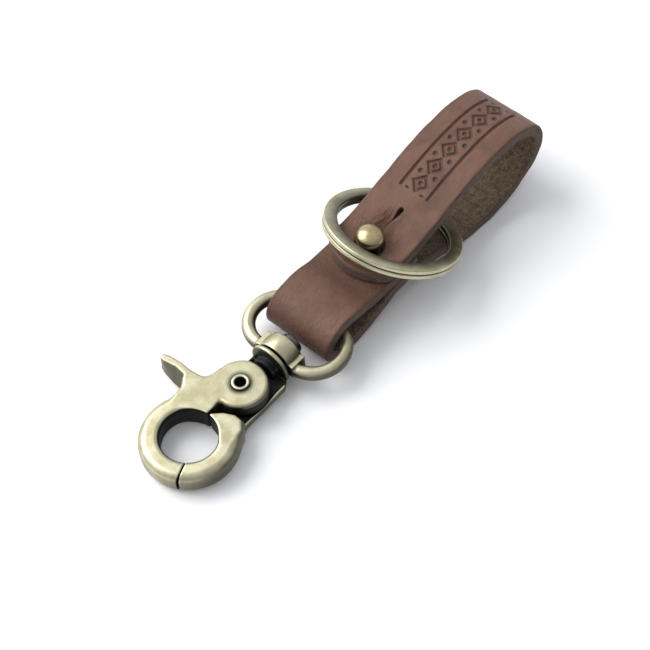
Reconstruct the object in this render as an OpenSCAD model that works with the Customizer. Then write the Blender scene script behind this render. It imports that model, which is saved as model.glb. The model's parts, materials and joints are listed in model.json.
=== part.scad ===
// Leather key holder: a strap folded round a swivel eye and buttoned on a ball stud,
// with a trigger snap hook on the eye and a split ring on the strap's flap.
// Origin: where the axis of the snap hook's opening meets the resting plane. +X runs
// from the hook to the strap's loop, +Y to the thumb lever's side, +Z is up.

/* [Strap] */
// Width of the leather strap
strap_w = 20; // [18:0.5:21]
// Thickness of the leather
leather_t = 3.2; // [2.6:0.1:3.2]
// Offset of the strap's centre line to the lever's side
strap_y = 1; // [0.8:0.1:1.2]
// Radius of the flap's rounded end
flap_end_r = 12.6; // [11:0.2:14]
// Radius of the flap's button hole
button_hole_r = 4.05; // [3.9:0.05:4.3]
// Length of the slit behind the button hole
slit_len = 13; // [8:0.5:13]
// Width of the slit
slit_w = 1; // [0.6:0.1:1.4]

/* [Stud] */
// Distance of the stud's axis from the hook's opening
stud_x = 66; // [65.5:0.1:66.5]
// Radius of the stud's ball
ball_r = 3.75; // [3.5:0.05:3.75]
// Height of the stud's slightly flattened ball
ball_h = 5.5; // [5:0.1:5.6]

/* [Split ring] */
// Outer radius of the split ring
ring_r = 18.1; // [17.9:0.1:18.1]
// Radial width of the ring's flat wire
ring_w = 3.5; // [3.1:0.1:3.5]
// Height of one coil of the ring
coil_h = 1.3; // [1.1:0.05:1.35]
// Angle at which the ring leans from level
ring_tilt = 22; // [21:0.5:23]

/* [Swivel eye] */
// Radius of the eye's round wire
eye_wire_r = 1.75; // [1.5:0.05:1.8]
// Radius of the eye's two half-round ends
eye_bend_r = 7.9; // [7.6:0.1:8]
// Outer radius of the eye's barrel
barrel_r = 5.2; // [4.8:0.1:5.3]

/* [Snap hook] */
// Radius of the hook's opening
opening_r = 7.0; // [6.8:0.1:7.6]
// Outer radius of the hook's ring
hook_r = 12.3; // [11.8:0.1:12.4]
// Thickness of the hook
hook_t = 6.4; // [6:0.1:6.4]
// Radius of the trigger's disc
disc_r = 6.9; // [6.5:0.1:6.9]
// Angle at which the hook leans on its round collar
hook_pitch = 3.8; // [3.7:0.1:4]

/* [Hidden] */

leather = "#80625a";
brass = "#b9b58f";
dark_brass = "#6e6b55";

// Middle line of the folded strap in the XZ plane, from the hidden tail end over the
// nose, along the resting belly and round the far fold to the flap's end
fold_x = 100;
fold_z = 14.2;
fold_gap = 0.3;
base_line = [[73, 11.3], [66, 11], [60.5, 10.7], [55, 10.7], [49.5, 11.3], [45.6, 11.1],
    [42.2, 9.8], [40, 7.3], [40.2, 4.3], [43, 2.2], [48.1, 1.62], [54.9, 3.2],
    [60.5, 5.6], [66, 7.45], [71, 7.85], [78, 6.5], [86, 4.35], [93, 2.6], [100, 1.7],
    [106, 1.95], [111.3, 3.3], [116, 5.6], [119.6, 8.3], [121.8, 11.2], [122.6, 14.2], [121.9, 17.6]];
flap_line = [[121.8, 11.2], [122.6, 14.2], [121.9, 17.6], [119.6, 20.9], [115.5, 23.2], [110.4, 24.4],
    [104.5, 24.45], [96.6, 23.3], [88.8, 21.1], [81.6, 18.6], [75, 16.4], [70.5, 15.1],
    [66, 14.5], [61.5, 14.3], [57.2, 14.4]];
line_steps = 5;

tail_top = 11 + leather_t / 2;
base_under = 7.45 - leather_t / 2;
screw_head_r = 4;
screw_head_h = 1.2;
shank_r = 2.3;
screw_r = 1.5;
flange_r = 3.4;
flange_h = 0.8;
neck_r = 1.9;
ball_z = 18.9;
fit = 0.05;

ring_centre = [74.2, 0.3, 13.8];
coil_gap = 0.1;
jog_angle = 26;

hook_lift = 0.63;
axis_w = hook_t / 2;
pivot = [18.4, 0.4];
plate_t = 2;
plate_gap = 0.3;
rivet_r = 1.8;
rivet_bore_r = 1.3;
rivet_rim_r = 2.25;
rivet_rim_h = 0.5;
split_angle = 213;
split_gap = 1;
collar_u = 27.8;
collar_t = 1.3;
collar_r = 5.7;
barrel_u = 29.5;
barrel_len = 5.1;
post_r = 2.3;
post_head_r = 2.9;
post_head_len = 2.1;
eye_u = 38.9;
eye_v = 0.75;
eye_half = 5.5;
spring_r = 3;
spring_wire_r = 0.25;
spring_turns = 3;

// Point at parameter t between b and c of a smooth curve through a, b, c and d
function curve(a, b, c, d, t) = 0.5 * (2 * b + (c - a) * t
    + (2 * a - 5 * b + 4 * c - d) * t * t + (3 * b - a - 3 * c + d) * t * t * t);
function smooth(p) = let (n = len(p)) concat([for (i = [0 : n - 2]) for (k = [0 : line_steps - 1])
    curve(p[max(i - 1, 0)], p[i], p[i + 1], p[min(i + 2, n - 1)], k / line_steps)], [p[n - 1]]);
function side(p, i) = let (d = p[min(i + 1, len(p) - 1)] - p[max(i - 1, 0)]) [-d[1], d[0]] / norm(d);
function skin(p, h) = [for (i = [0 : len(p) - 1]) p[i] + h * side(p, i)];
function reversed(p) = [for (i = [len(p) - 1 : -1 : 0]) p[i]];

// A strap of leather that follows a middle line in the XZ plane
module strap(line) {
    p = smooth(line);
    translate([0, strap_y + strap_w / 2, 0]) rotate([90, 0, 0]) linear_extrude(strap_w)
        polygon(concat(skin(p, leather_t / 2), reversed(skin(p, -leather_t / 2))));
}

module stud_hole(r, z, h) translate([stud_x, strap_y, z]) cylinder(r = r, h = h, $fn = 48);

module strap_base() {
    color(leather) difference() {
        strap(base_line);
        translate([fold_x, -strap_w, fold_z - fold_gap / 2]) cube([40, 2 * strap_w, 20]);
        stud_hole(shank_r + fit, 2, tail_top);
        stud_hole(flange_r + fit, tail_top, 1.5);
        stud_hole(screw_head_r + fit, 1, base_under - 0.4);
    }
}

module strap_flap() {
    end_x = 57.2 + flap_end_r;
    color(leather) difference() {
        intersection() {
            strap(flap_line);
            union() {
                translate([end_x, strap_y, 0]) cylinder(r = flap_end_r, h = 40, $fn = 96);
                translate([end_x, strap_y - strap_w, 0]) cube([80, 2 * strap_w, 40]);
            }
        }
        translate([fold_x, -strap_w, fold_z + fold_gap / 2 - 20]) cube([40, 2 * strap_w, 20]);
        stud_hole(button_hole_r, 10, 10);
        translate([stud_x, strap_y - slit_w / 2, 10]) cube([slit_len, slit_w, 12]);
        translate([stud_x + slit_len, strap_y, 10]) cylinder(r = slit_w, h = 12, $fn = 24);
    }
}

module ball_stud() {
    steps = 24;
    low = tail_top + flange_h;
    start = acos(neck_r / ball_r);
    ball = [for (i = [0 : steps]) let (a = -start + i * (90 + start) / steps)
        [ball_r * cos(a), ball_z + ball_h / 2 * sin(a)]];
    color(dark_brass) translate([stud_x, strap_y, 0]) difference() {
        union() {
            rotate_extrude($fn = 64)
                polygon(concat([[0, tail_top], [flange_r, tail_top], [flange_r, low], [neck_r, low]],
                    [for (p = ball) [max(p[0], 0), p[1]]]));
            translate([0, 0, base_under]) cylinder(r = shank_r, h = tail_top - base_under, $fn = 48);
        }
        translate([0, 0, base_under - 1]) cylinder(r = screw_r + fit, h = 6, $fn = 32);
    }
}

module stud_screw() {
    color(dark_brass) translate([stud_x, strap_y, 0]) difference() {
        union() {
            translate([0, 0, base_under - screw_head_h - 0.45])
                cylinder(r = screw_head_r, h = screw_head_h, $fn = 48);
            translate([0, 0, base_under - 0.5]) cylinder(r = screw_r, h = 5, $fn = 32);
        }
        translate([-5, -0.4, base_under - screw_head_h - 1]) cube([10, 0.8, 1.1]);
    }
}

// Height of the ring's wire over the two turns: low, a jog where the ends meet, then high
function coil_level(a) = let (s = min(max((a - 360 + jog_angle / 2) / jog_angle, 0), 1))
    (s * s * (3 - 2 * s) - 0.5) * (coil_h + coil_gap);

module split_ring() {
    steps = 110;
    first = jog_angle * 0.6;
    turn = 720 - 2 * first;
    section = [[ring_r - ring_w, -coil_h / 2], [ring_r, -coil_h / 2],
               [ring_r, coil_h / 2], [ring_r - ring_w, coil_h / 2]];
    points = [for (i = [0 : steps]) let (a = first + turn * i / steps)
        for (s = section) [s[0] * cos(a), s[0] * sin(a), s[1] + coil_level(a)]];
    walls = [for (i = [0 : steps - 1]) for (k = [0 : 3]) let (a = 4 * i + k, b = 4 * i + (k + 1) % 4)
        each [[a, a + 4, b + 4], [a, b + 4, b]]];
    ends = [[0, 1, 2], [0, 2, 3], [4 * steps + 2, 4 * steps + 1, 4 * steps],
            [4 * steps + 3, 4 * steps + 2, 4 * steps]];
    color(brass) translate(ring_centre) rotate([0, ring_tilt, 0])
        polyhedron(points = points, faces = concat(walls, ends));
}

// Places its children in the hook's own frame: U along the swivel, W out of the flat back
module hook_frame() translate([0, 0, hook_lift]) rotate([0, -hook_pitch, 0]) children();

// A cylinder along U from u0
module along_u(r, u0, len) translate([u0, 0, axis_w]) rotate([0, 90, 0]) cylinder(r = r, h = len, $fn = 64);

// A rectangle with round corners, centred
module round_bar(w, h, r) {
    square([w - 2 * r, h], center = true);
    square([w, h - 2 * r], center = true);
    for (x = [-1, 1], y = [-1, 1]) translate([x * (w / 2 - r), y * (h / 2 - r)]) circle(r = r, $fn = 32);
}

// A stretch of the hook's ring between two angles
module ring_arc(from, to) {
    translate([0, 0, axis_w]) rotate([0, 0, from]) rotate_extrude(angle = to - from, $fn = 96)
        translate([(opening_r + hook_r) / 2, 0]) round_bar(hook_r - opening_r, hook_t, 1.6);
}

module slab(points, w0, w1) translate([0, 0, w0]) linear_extrude(w1 - w0) polygon(points);

module swivel_eye() {
    color(brass) hook_frame() difference() {
        union() {
            along_u(barrel_r, barrel_u, barrel_len);
            translate([eye_u, eye_v, axis_w]) {
                for (s = [-1, 1]) {
                    translate([0, s * eye_half, 0]) rotate([0, 0, s < 0 ? 180 : 0])
                        rotate_extrude(angle = 180, $fn = 96) translate([eye_bend_r, 0])
                            circle(r = eye_wire_r, $fn = 32);
                    translate([s * eye_bend_r, eye_half, 0]) rotate([90, 0, 0])
                        cylinder(r = eye_wire_r, h = 2 * eye_half, $fn = 32);
                }
            }
            for (s = [-1, 1]) translate([barrel_u + 2.1, s * (barrel_r - 0.6), axis_w])
                rotate([-90 * s, 0, 0]) cylinder(r = 2, h = 1.2, $fn = 32);
        }
        along_u(post_r + fit, barrel_u - 1, barrel_len + 2);
        translate([barrel_u - 4, -4, axis_w - 4]) cube([4, 8, 8]);
    }
}

module swivel_post() {
    head_u = barrel_u + barrel_len + 0.1;
    color(dark_brass) hook_frame() {
        along_u(post_r, collar_u - 1.5, head_u - collar_u + 1.6);
        translate([head_u, 0, axis_w]) rotate([0, 90, 0]) rotate_extrude($fn = 64)
            polygon([[0, 0], [post_head_r, 0], [post_head_r, post_head_len - 0.8],
                [post_head_r - 0.3, post_head_len - 0.3], [post_head_r - 0.9, post_head_len],
                [0, post_head_len]]);
    }
}

module hook_body() {
    color(brass) hook_frame() difference() {
        union() {
            ring_arc(split_angle + split_gap, 322);
            slab([[7.2, -0.5], [7.5, -0.5], [9.2, -2.2], [10.2, -4.8], [10.8, -7.2], [8.8, -8.6], [5.6, -5.4]],
                0.4, hook_t - 0.3);
            slab([[8.5, -8.8], [11.4, -7.7], [12.4, -6.6], [26.2, -6.5], [28, -5.3], [28, 5.4], [24, 5.4],
                [18.4, 6], [12, 0], [7.5, -1.5]], 0, plate_t);
            translate([pivot[0], pivot[1], 0]) cylinder(r = disc_r, h = plate_t, $fn = 64);
            slab([[25.9, -3.3], [28, -3.3], [28, 3.3], [25.9, 3.3]], 0, hook_t - 0.2);
            along_u(collar_r, collar_u, collar_t);
        }
        translate([0, 0, -1]) cylinder(r = opening_r, h = hook_t + 2, $fn = 96);
        translate([pivot[0], pivot[1], -1]) cylinder(r = rivet_r, h = plate_t + 2, $fn = 48);
        along_u(post_r, collar_u - 1.5, 6);
    }
}

module trigger() {
    recess_r = 4.3;
    color(brass) hook_frame() difference() {
        union() {
            ring_arc(48, split_angle - split_gap);
            translate([pivot[0], pivot[1], plate_t + plate_gap])
                cylinder(r = disc_r, h = hook_t - plate_t - plate_gap, $fn = 64);
            slab([[8, 1.2], [11, 1.1], [18, 6.8], [18.4, 7.3], [16, 8.2], [14.3, 9.3], [13.6, 11],
                [13.7, 14.4], [13.3, 18.5], [12.7, 20.6], [11.8, 21.2], [11.1, 20.4], [11, 17],
                [11, 13], [10, 11.2], [8.4, 10.3], [3, 8.5], [6, 5]], 0.3, hook_t);
        }
        translate([pivot[0], pivot[1], -1]) {
            cylinder(r = rivet_r + fit, h = hook_t + 2, $fn = 48);
            cylinder(r = disc_r + plate_gap, h = 1 + plate_t + plate_gap, $fn = 64);
            cylinder(r = recess_r, h = 1 + plate_t + plate_gap + 2, $fn = 48);
        }
    }
}

module pivot_rivet() {
    color(brass) hook_frame() translate([pivot[0], pivot[1], 0]) difference() {
        union() {
            translate([0, 0, 0.1]) cylinder(r = rivet_r, h = hook_t - 0.1, $fn = 48);
            translate([0, 0, hook_t + fit]) cylinder(r = rivet_rim_r, h = rivet_rim_h, $fn = 48);
            translate([0, 0, hook_t - 0.1]) cylinder(r = rivet_r, h = 0.3, $fn = 48);
        }
        translate([0, 0, -1]) cylinder(r = rivet_bore_r, h = hook_t + 3, $fn = 48);
    }
}

module trigger_spring() {
    steps = 66;
    sides = 8;
    pitch = 2 * spring_wire_r + 0.08;
    points = [for (i = [0 : steps]) let (a = 360 * spring_turns * i / steps, h = pitch * a / 360)
        for (k = [0 : sides - 1]) let (b = 360 * k / sides, r = spring_r + spring_wire_r * cos(b))
            [r * cos(a), r * sin(a), h + spring_wire_r * sin(b)]];
    walls = [for (i = [0 : steps - 1]) for (k = [0 : sides - 1])
        let (a = sides * i + k, b = sides * i + (k + 1) % sides)
            each [[a, a + sides, b + sides], [a, b + sides, b]]];
    ends = [for (k = [1 : sides - 2]) each [[0, k, k + 1],
        [sides * steps, sides * steps + k + 1, sides * steps + k]]];
    color("silver") hook_frame() translate([pivot[0], pivot[1], plate_t + spring_wire_r + 0.05])
        polyhedron(points = points, faces = concat(walls, ends));
}

strap_base();
strap_flap();
ball_stud();
stud_screw();
split_ring();
swivel_eye();
swivel_post();
hook_body();
trigger();
pivot_rivet();
trigger_spring();
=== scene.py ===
"""Looks of a leather key holder: folded strap, ball stud, split ring, swivel eye and snap hook."""

import json
import logging
import math
from dataclasses import dataclass, field
from enum import Enum
from typing import Callable

import bmesh
import bpy
import numpy as np
from mathutils import Matrix, Vector


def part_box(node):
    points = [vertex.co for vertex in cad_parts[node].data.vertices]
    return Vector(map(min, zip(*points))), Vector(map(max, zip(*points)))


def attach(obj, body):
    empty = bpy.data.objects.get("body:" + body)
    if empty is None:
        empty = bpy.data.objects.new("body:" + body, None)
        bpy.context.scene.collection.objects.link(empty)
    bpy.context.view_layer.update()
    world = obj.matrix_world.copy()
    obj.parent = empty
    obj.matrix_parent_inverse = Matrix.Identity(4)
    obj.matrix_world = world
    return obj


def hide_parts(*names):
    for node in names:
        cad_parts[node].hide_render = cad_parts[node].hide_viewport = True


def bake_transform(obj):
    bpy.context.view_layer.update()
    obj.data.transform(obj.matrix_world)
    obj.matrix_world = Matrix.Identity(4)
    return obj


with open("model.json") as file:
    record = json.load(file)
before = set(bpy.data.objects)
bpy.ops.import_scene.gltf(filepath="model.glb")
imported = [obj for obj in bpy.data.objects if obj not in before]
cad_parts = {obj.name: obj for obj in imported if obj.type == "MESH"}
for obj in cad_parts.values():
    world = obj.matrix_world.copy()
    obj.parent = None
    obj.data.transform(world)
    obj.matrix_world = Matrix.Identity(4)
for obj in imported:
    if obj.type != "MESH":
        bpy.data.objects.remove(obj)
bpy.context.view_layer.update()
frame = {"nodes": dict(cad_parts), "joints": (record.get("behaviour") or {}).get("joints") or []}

LOG = logging.getLogger("keychain")
MM = 0.001
Array = np.ndarray
Solid = Callable[[Array, Array, Array], Array]
Outline = tuple[tuple[float, float], ...]
Colour = tuple[float, float, float]
Socket = bpy.types.NodeSocket


# ---------------------------------------------------------------- distance fields

def held(x: Array) -> Array:
    """Value kept between 0 and 1."""
    return np.clip(x, 0, 1)


def ramp(x: Array, start: float, end: float) -> Array:
    """Straight rise from 0 at start to 1 at end, level on both sides."""
    return held((x - start) / (end - start))


def join(a: Array, b: Array, soft: float = 0.0) -> Array:
    """Union of two solids, with a fillet about as wide as soft where they meet."""
    if soft <= 0:
        return np.minimum(a, b)
    h = held(0.5 + 0.5 * (b - a) / soft)
    return b + (a - b) * h - soft * h * (1 - h)


def cut(a: Array, b: Array, soft: float = 0.0) -> Array:
    """Solid a with solid b taken away, its new edge eased by soft."""
    return -join(-a, b, soft)


def rounded(side: Array, level: Array, radius: float) -> Array:
    """Slab whose outline distance is side and whose distance past its faces is level, with round edges."""
    a, b = side + radius, level + radius
    return np.minimum(np.maximum(a, b), 0) + np.hypot(np.maximum(a, 0), np.maximum(b, 0)) - radius


def between(z: Array, low: float, high: float) -> Array:
    """Distance past the nearer of two parallel faces at low and high."""
    return np.abs(z - (low + high) / 2) - (high - low) / 2


def outline(x: Array, y: Array, points: Outline) -> Array:
    """Signed distance to a closed outline of straight edges.

    Args:
        x: First coordinates of the sample points.
        y: Second coordinates of the sample points.
        points: Corners of the outline in order.

    Returns:
        The distance of each sample, negative inside.
    """
    best = np.full(np.broadcast(x, y).shape, 1e9)
    inside = np.zeros(best.shape, bool)
    for (ax, ay), (bx, by) in zip(points, points[1:] + points[:1]):
        ex, ey = bx - ax, by - ay
        t = held(((x - ax) * ex + (y - ay) * ey) / (ex * ex + ey * ey))
        best = np.minimum(best, np.hypot(x - ax - t * ex, y - ay - t * ey))
        if ey:
            inside ^= ((ay > y) != (by > y)) & (x < ax + (y - ay) * ex / ey)
    return np.where(inside, -best, best)


def waves(a: Array, b: Array, pitch: float, seed: float) -> Array:
    """Gentle irregular ripple between -1 and 1 over two coordinates, about pitch long."""
    k = 2 * math.pi / pitch
    return (np.sin(k * a + seed + 1.3 * np.sin(0.61 * k * b + 2 * seed))
            * np.cos(0.83 * k * b - seed + 1.1 * np.sin(0.47 * k * a + seed)))


# ---------------------------------------------------------------- meshes from fields

@dataclass
class Skin:
    """A mesh under construction: points, four-sided faces and named values at its points."""

    points: Array
    faces: Array
    values: dict[str, Array] = field(default_factory=dict)

    def normals(self) -> Array:
        """Outward direction at each point, averaged over its faces."""
        p, f = self.points, self.faces
        n = np.cross(p[f[:, 2]] - p[f[:, 0]], p[f[:, 3]] - p[f[:, 1]])
        out = np.zeros_like(p)
        for k in range(4):
            np.add.at(out, f[:, k], n)
        return out / np.maximum(np.linalg.norm(out, axis=1, keepdims=True), 1e-12)

    def relax(self, share: float) -> None:
        """Moves each point by a share of the way to the mean of its neighbours."""
        total, count = np.zeros_like(self.points), np.zeros(len(self.points))
        for k in range(4):
            a, b = self.faces[:, k], self.faces[:, (k + 1) % 4]
            np.add.at(total, a, self.points[b])
            np.add.at(total, b, self.points[a])
            np.add.at(count, a, 1)
            np.add.at(count, b, 1)
        self.points += share * (total / np.maximum(count, 1)[:, None] - self.points)


def spaced(low: float, high: float, step: float) -> Array:
    """Evenly spaced grid lines from low to high, at most step apart."""
    return np.linspace(low, high, int(math.ceil((high - low) / step)) + 1)


def slope(solid: Solid, p: Array, reach: float = 0.01) -> Array:
    """Gradient of a solid's distance at each point."""
    out = np.empty_like(p)
    for k in range(3):
        step = np.zeros(3)
        step[k] = reach
        out[:, k] = (solid(*(p + step).T) - solid(*(p - step).T)) / (2 * reach)
    return out


def carve(solid: Solid, xs: Array, ys: Array, zs: Array, polish: int = 3) -> Skin:
    """Meshes the surface of a solid with one point in each grid cell that it crosses.

    Args:
        solid: Signed distance of points to the solid.
        xs: Grid lines across the first axis.
        ys: Grid lines across the second axis.
        zs: Grid lines across the third axis.
        polish: How often the points are evened out and set back on the surface.

    Returns:
        The skin, with its faces turned outward.
    """
    grid = np.meshgrid(xs, ys, zs, indexing="ij")
    d = solid(*(g.ravel() for g in grid)).reshape(grid[0].shape)
    inside = d < 0
    cells = tuple(n - 1 for n in d.shape)
    total, count = np.zeros(cells + (3,)), np.zeros(cells)
    for axis in range(3):
        a = [slice(None)] * 3
        b = [slice(None)] * 3
        a[axis], b[axis] = slice(0, -1), slice(1, None)
        da, db = d[tuple(a)], d[tuple(b)]
        cross = inside[tuple(a)] != inside[tuple(b)]
        t = np.where(cross, da / np.where(cross, da - db, 1), 0)
        spot = [g[tuple(a)] for g in grid]
        spot[axis] = spot[axis] + t * (grid[axis][tuple(b)] - grid[axis][tuple(a)])
        others = [k for k in range(3) if k != axis]
        for i in (0, 1):
            for j in (0, 1):
                pick = [slice(None)] * 3
                pick[others[0]] = slice(i, cells[others[0]] + i)
                pick[others[1]] = slice(j, cells[others[1]] + j)
                use = cross[tuple(pick)]
                count += use
                for k in range(3):
                    total[..., k] += np.where(use, spot[k][tuple(pick)], 0)
    used = count > 0
    number = np.full(cells, -1)
    number[used] = np.arange(used.sum())
    points = total[used] / count[used][:, None]
    faces = []
    for axis in range(3):
        u, v = (axis + 1) % 3, (axis + 2) % 3
        a = [slice(1, -1)] * 3
        b = [slice(1, -1)] * 3
        a[axis], b[axis] = slice(0, -1), slice(1, None)
        cross = inside[tuple(a)] != inside[tuple(b)]
        at = np.argwhere(cross)
        at[:, u] += 1
        at[:, v] += 1
        corners = []
        for du, dv in ((-1, -1), (0, -1), (0, 0), (-1, 0)):
            c = at.copy()
            c[:, u] += du
            c[:, v] += dv
            corners.append(number[tuple(c.T)])
        quad = np.stack(corners, 1)
        flip = ~inside[tuple(at.T)]
        quad[flip] = quad[flip][:, ::-1]
        faces.append(quad)
    skin = Skin(points, np.concatenate(faces))
    for turn in range(polish):
        if turn:
            skin.relax(0.5)
        for _ in range(2):
            g = slope(solid, skin.points)
            size = np.maximum((g * g).sum(1), 0.2)
            skin.points -= (solid(*skin.points.T) / size)[:, None] * g
    return skin


def build_object(name: str, skin: Skin, to_frame: Matrix | None = None) -> bpy.types.Object:
    """Turns a skin in millimetres into a smooth Blender object in metres.

    Args:
        name: Name of the piece.
        skin: Points, faces and values.
        to_frame: Turn and shift from the skin's own axes, in metres.

    Returns:
        The new object, linked to the scene.
    """
    mesh = bpy.data.meshes.new(name)
    points = skin.points * MM
    if to_frame is not None:
        m = np.array(to_frame)
        points = points @ m[:3, :3].T + m[:3, 3]
    mesh.vertices.add(len(points))
    mesh.vertices.foreach_set("co", points.astype(np.float32).ravel())
    corners = skin.faces.shape[1]
    mesh.loops.add(skin.faces.size)
    mesh.loops.foreach_set("vertex_index", skin.faces.astype(np.int32).ravel())
    mesh.polygons.add(len(skin.faces))
    mesh.polygons.foreach_set("loop_start", np.arange(0, skin.faces.size, corners, dtype=np.int32))
    mesh.update(calc_edges=True)
    mesh.validate()
    mesh.shade_smooth()
    for key, value in skin.values.items():
        kind = "FLOAT_VECTOR" if value.ndim == 2 else "FLOAT"
        slot = "vector" if value.ndim == 2 else "value"
        mesh.attributes.new(key, kind, "POINT").data.foreach_set(slot, value.astype(np.float32).ravel())
    piece = bpy.data.objects.new(name, mesh)
    bpy.context.scene.collection.objects.link(piece)
    return piece


def weather_and_light(skin: Skin, assembly: Solid, polish_and_light: Solid) -> None:
    """Adds how sheltered and how sharp each point of a skin is, and how bright it is painted by facing:
    polish with painted light.

    Args:
        skin: Skin of one piece.
        assembly: Distance to everything near the piece, itself included.
        polish_and_light: How bright a face is painted from its normal's three parts: polish with painted
            light.
    """
    normals = skin.normals()
    patina_and_shade, ridge = np.zeros(len(skin.points)), np.zeros(len(skin.points))
    outward, inward = (0.5, 1.1, 2.2), (0.35, 0.8)
    for reach in outward:
        patina_and_shade += held(1 - assembly(*(skin.points + reach * normals).T) / reach) / len(outward)
    for reach in inward:
        ridge += held(1 + assembly(*(skin.points - reach * normals).T) / reach) / len(inward)
    skin.values["patina_and_shade"], skin.values["ridge"] = patina_and_shade, ridge
    # Brightness by facing: polish on the fronts and painted light.
    skin.values["buffed_and_lit"] = held(polish_and_light(*normals.T))


def darken(skin: Skin, least: Array) -> None:
    """Raises a skin's dark value to at least that; callers use it for patina and for painted shade."""
    skin.values["patina_and_shade"] = np.maximum(skin.values["patina_and_shade"], least)


# ---------------------------------------------------------------- finishes

class Nodes:
    """Short way to write a node tree: each call adds one node and returns its output."""

    def __init__(self, name: str) -> None:
        """Starts an empty material of that name with a Principled shader."""
        self.material = bpy.data.materials.new(name)
        self.material.use_nodes = True
        self.tree = self.material.node_tree
        self.shader = self.tree.nodes["Principled BSDF"]

    def add(self, kind: str, **settings: object) -> bpy.types.Node:
        """Adds a node of a kind and sets its properties."""
        node = self.tree.nodes.new(kind)
        for key, value in settings.items():
            setattr(node, key, value)
        return node

    def feed(self, socket: Socket, value: object) -> None:
        """Links a socket to an output, or sets it to a plain value."""
        if isinstance(value, Socket):
            self.tree.links.new(value, socket)
        else:
            socket.default_value = value

    def value(self, name: str) -> Socket:
        """A number stored at the mesh's points."""
        return self.add("ShaderNodeAttribute", attribute_name=name).outputs["Fac"]

    def place(self, name: str | None = None, scale: tuple[float, ...] = (1, 1, 1)) -> Socket:
        """Coordinates from a stored value, or in millimetres from the object's own space."""
        if name:
            source = self.add("ShaderNodeAttribute", attribute_name=name).outputs["Vector"]
        else:
            source = self.add("ShaderNodeTexCoord").outputs["Object"]
            scale = tuple(s / MM for s in scale)
        node = self.add("ShaderNodeMapping")
        self.feed(node.inputs["Vector"], source)
        node.inputs["Scale"].default_value = scale
        return node.outputs["Vector"]

    def noise(self, at: Socket, scale: float, detail: float = 4, rough: float = 0.5,
              twist: float = 0) -> Socket:
        """Cloudy noise from 0 to 1."""
        node = self.add("ShaderNodeTexNoise")
        self.feed(node.inputs["Vector"], at)
        settings = {"Scale": scale, "Detail": detail, "Roughness": rough, "Distortion": twist}
        for key, number in settings.items():
            node.inputs[key].default_value = number
        return node.outputs["Fac"]

    def cells(self, at: Socket, scale: float, feature: str = "F1") -> Socket:
        """Distance pattern of irregular cells."""
        node = self.add("ShaderNodeTexVoronoi", feature=feature)
        self.feed(node.inputs["Vector"], at)
        node.inputs["Scale"].default_value = scale
        return node.outputs["Distance"]

    def band(self, value: object, low: float, high: float, to_low: float = 0,
             to_high: float = 1) -> Socket:
        """Smoothly maps a value's range to another."""
        node = self.add("ShaderNodeMapRange", interpolation_type="SMOOTHSTEP")
        ends = {"From Min": low, "From Max": high, "To Min": to_low, "To Max": to_high}
        for key, item in {"Value": value, **ends}.items():
            self.feed(node.inputs[key], item)
        return node.outputs["Result"]

    def math(self, operation: str, a: object, b: object = 0.0) -> Socket:
        """Arithmetic on two values."""
        node = self.add("ShaderNodeMath", operation=operation)
        self.feed(node.inputs[0], a)
        self.feed(node.inputs[1], b)
        return node.outputs[0]

    def vary(self, value: object, noise: Socket, amount: float) -> Socket:
        """Value raised and lowered by a noise, over that amount in all."""
        return self.math("ADD", value, self.math("MULTIPLY", self.math("SUBTRACT", noise, 0.5), amount))

    def mix(self, share: object, a: object, b: object, blend: str = "MIX") -> Socket:
        """Mixes two colours by a share."""
        node = self.add("ShaderNodeMix", data_type="RGBA", blend_type=blend)
        self.feed(node.inputs[0], share)
        self.feed(node.inputs[6], a)
        self.feed(node.inputs[7], b)
        return node.outputs[2]

    def relief(self, height: object, depth: float, strength: float = 1,
               under: object = None) -> Socket:
        """Bump from a height of 0 to 1 that stands for that depth in metres."""
        node = self.add("ShaderNodeBump")
        node.inputs["Distance"].default_value = depth
        node.inputs["Strength"].default_value = strength
        self.feed(node.inputs["Height"], height)
        if under is not None:
            self.feed(node.inputs["Normal"], under)
        return node.outputs["Normal"]


def opaque(colour: Colour) -> tuple[float, float, float, float]:
    """Colour with full opacity."""
    return (*colour, 1.0)


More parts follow.
